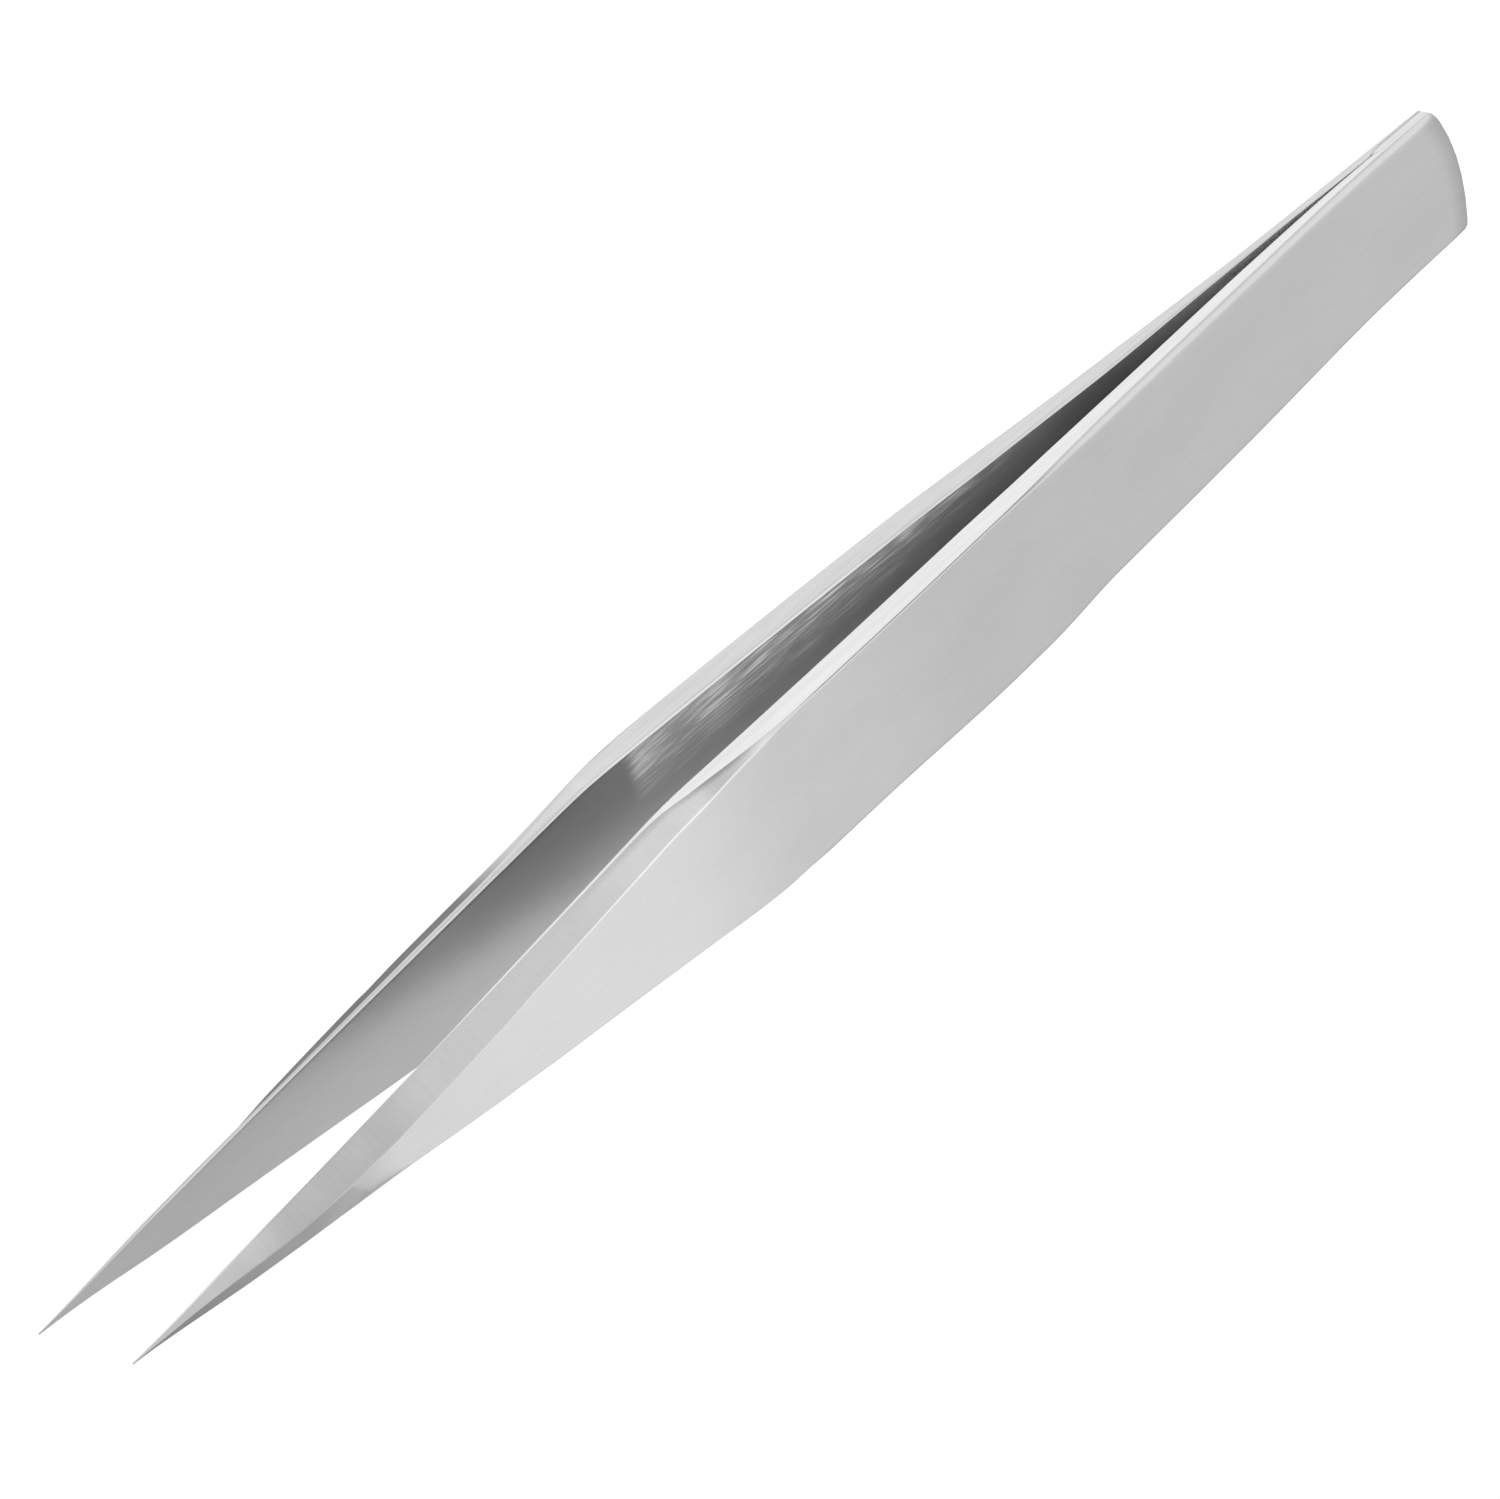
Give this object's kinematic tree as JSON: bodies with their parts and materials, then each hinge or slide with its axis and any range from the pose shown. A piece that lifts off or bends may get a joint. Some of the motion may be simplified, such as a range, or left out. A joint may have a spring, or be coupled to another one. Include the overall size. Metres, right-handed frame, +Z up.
{
  "type": "precision tweezers",
  "caption": "Straight fine-point tweezers: sprung steel arms welded at the rear end, with a flat grip and bevelled needle tips.",
  "frame": {"origin": "under the middle of the length, on the mid-plane between the arms, at the level of the lower edges it stands on", "axes": "+X from the tips to the rear end, +Y towards the right arm, +Z up over the width of the arms"},
  "size_m": [0.125, 0.011, 0.0094],
  "materials": {
    "satin_steel": "fine satin, ground crisp on the edges and bevels",
    "weld_metal": "fused seam, ground flush and satin"
  },
  "bodies": {
    "rear_end": {"left_tail": "satin_steel", "right_tail": "satin_steel", "rear_weld": "weld_metal"},
    "left_arm": {"left_blade": "satin_steel"},
    "right_arm": {"right_blade": "satin_steel"}
  },
  "joints": [
    {"name": "left_arm_flex", "type": "hinge", "parent": "rear_end", "child": "left_arm", "pos_m": [0.0405, -0.00035, 0.0047], "axis": [0, 0, -1], "range_deg": [0, 2.03], "stiffness_Nm_per_rad": 4},
    {"name": "right_arm_flex", "type": "hinge", "parent": "rear_end", "child": "right_arm", "pos_m": [0.0405, 0.00035, 0.0047], "axis": [0, 0, 1], "range_deg": [0, 2.03], "stiffness_Nm_per_rad": 4}
  ]
}
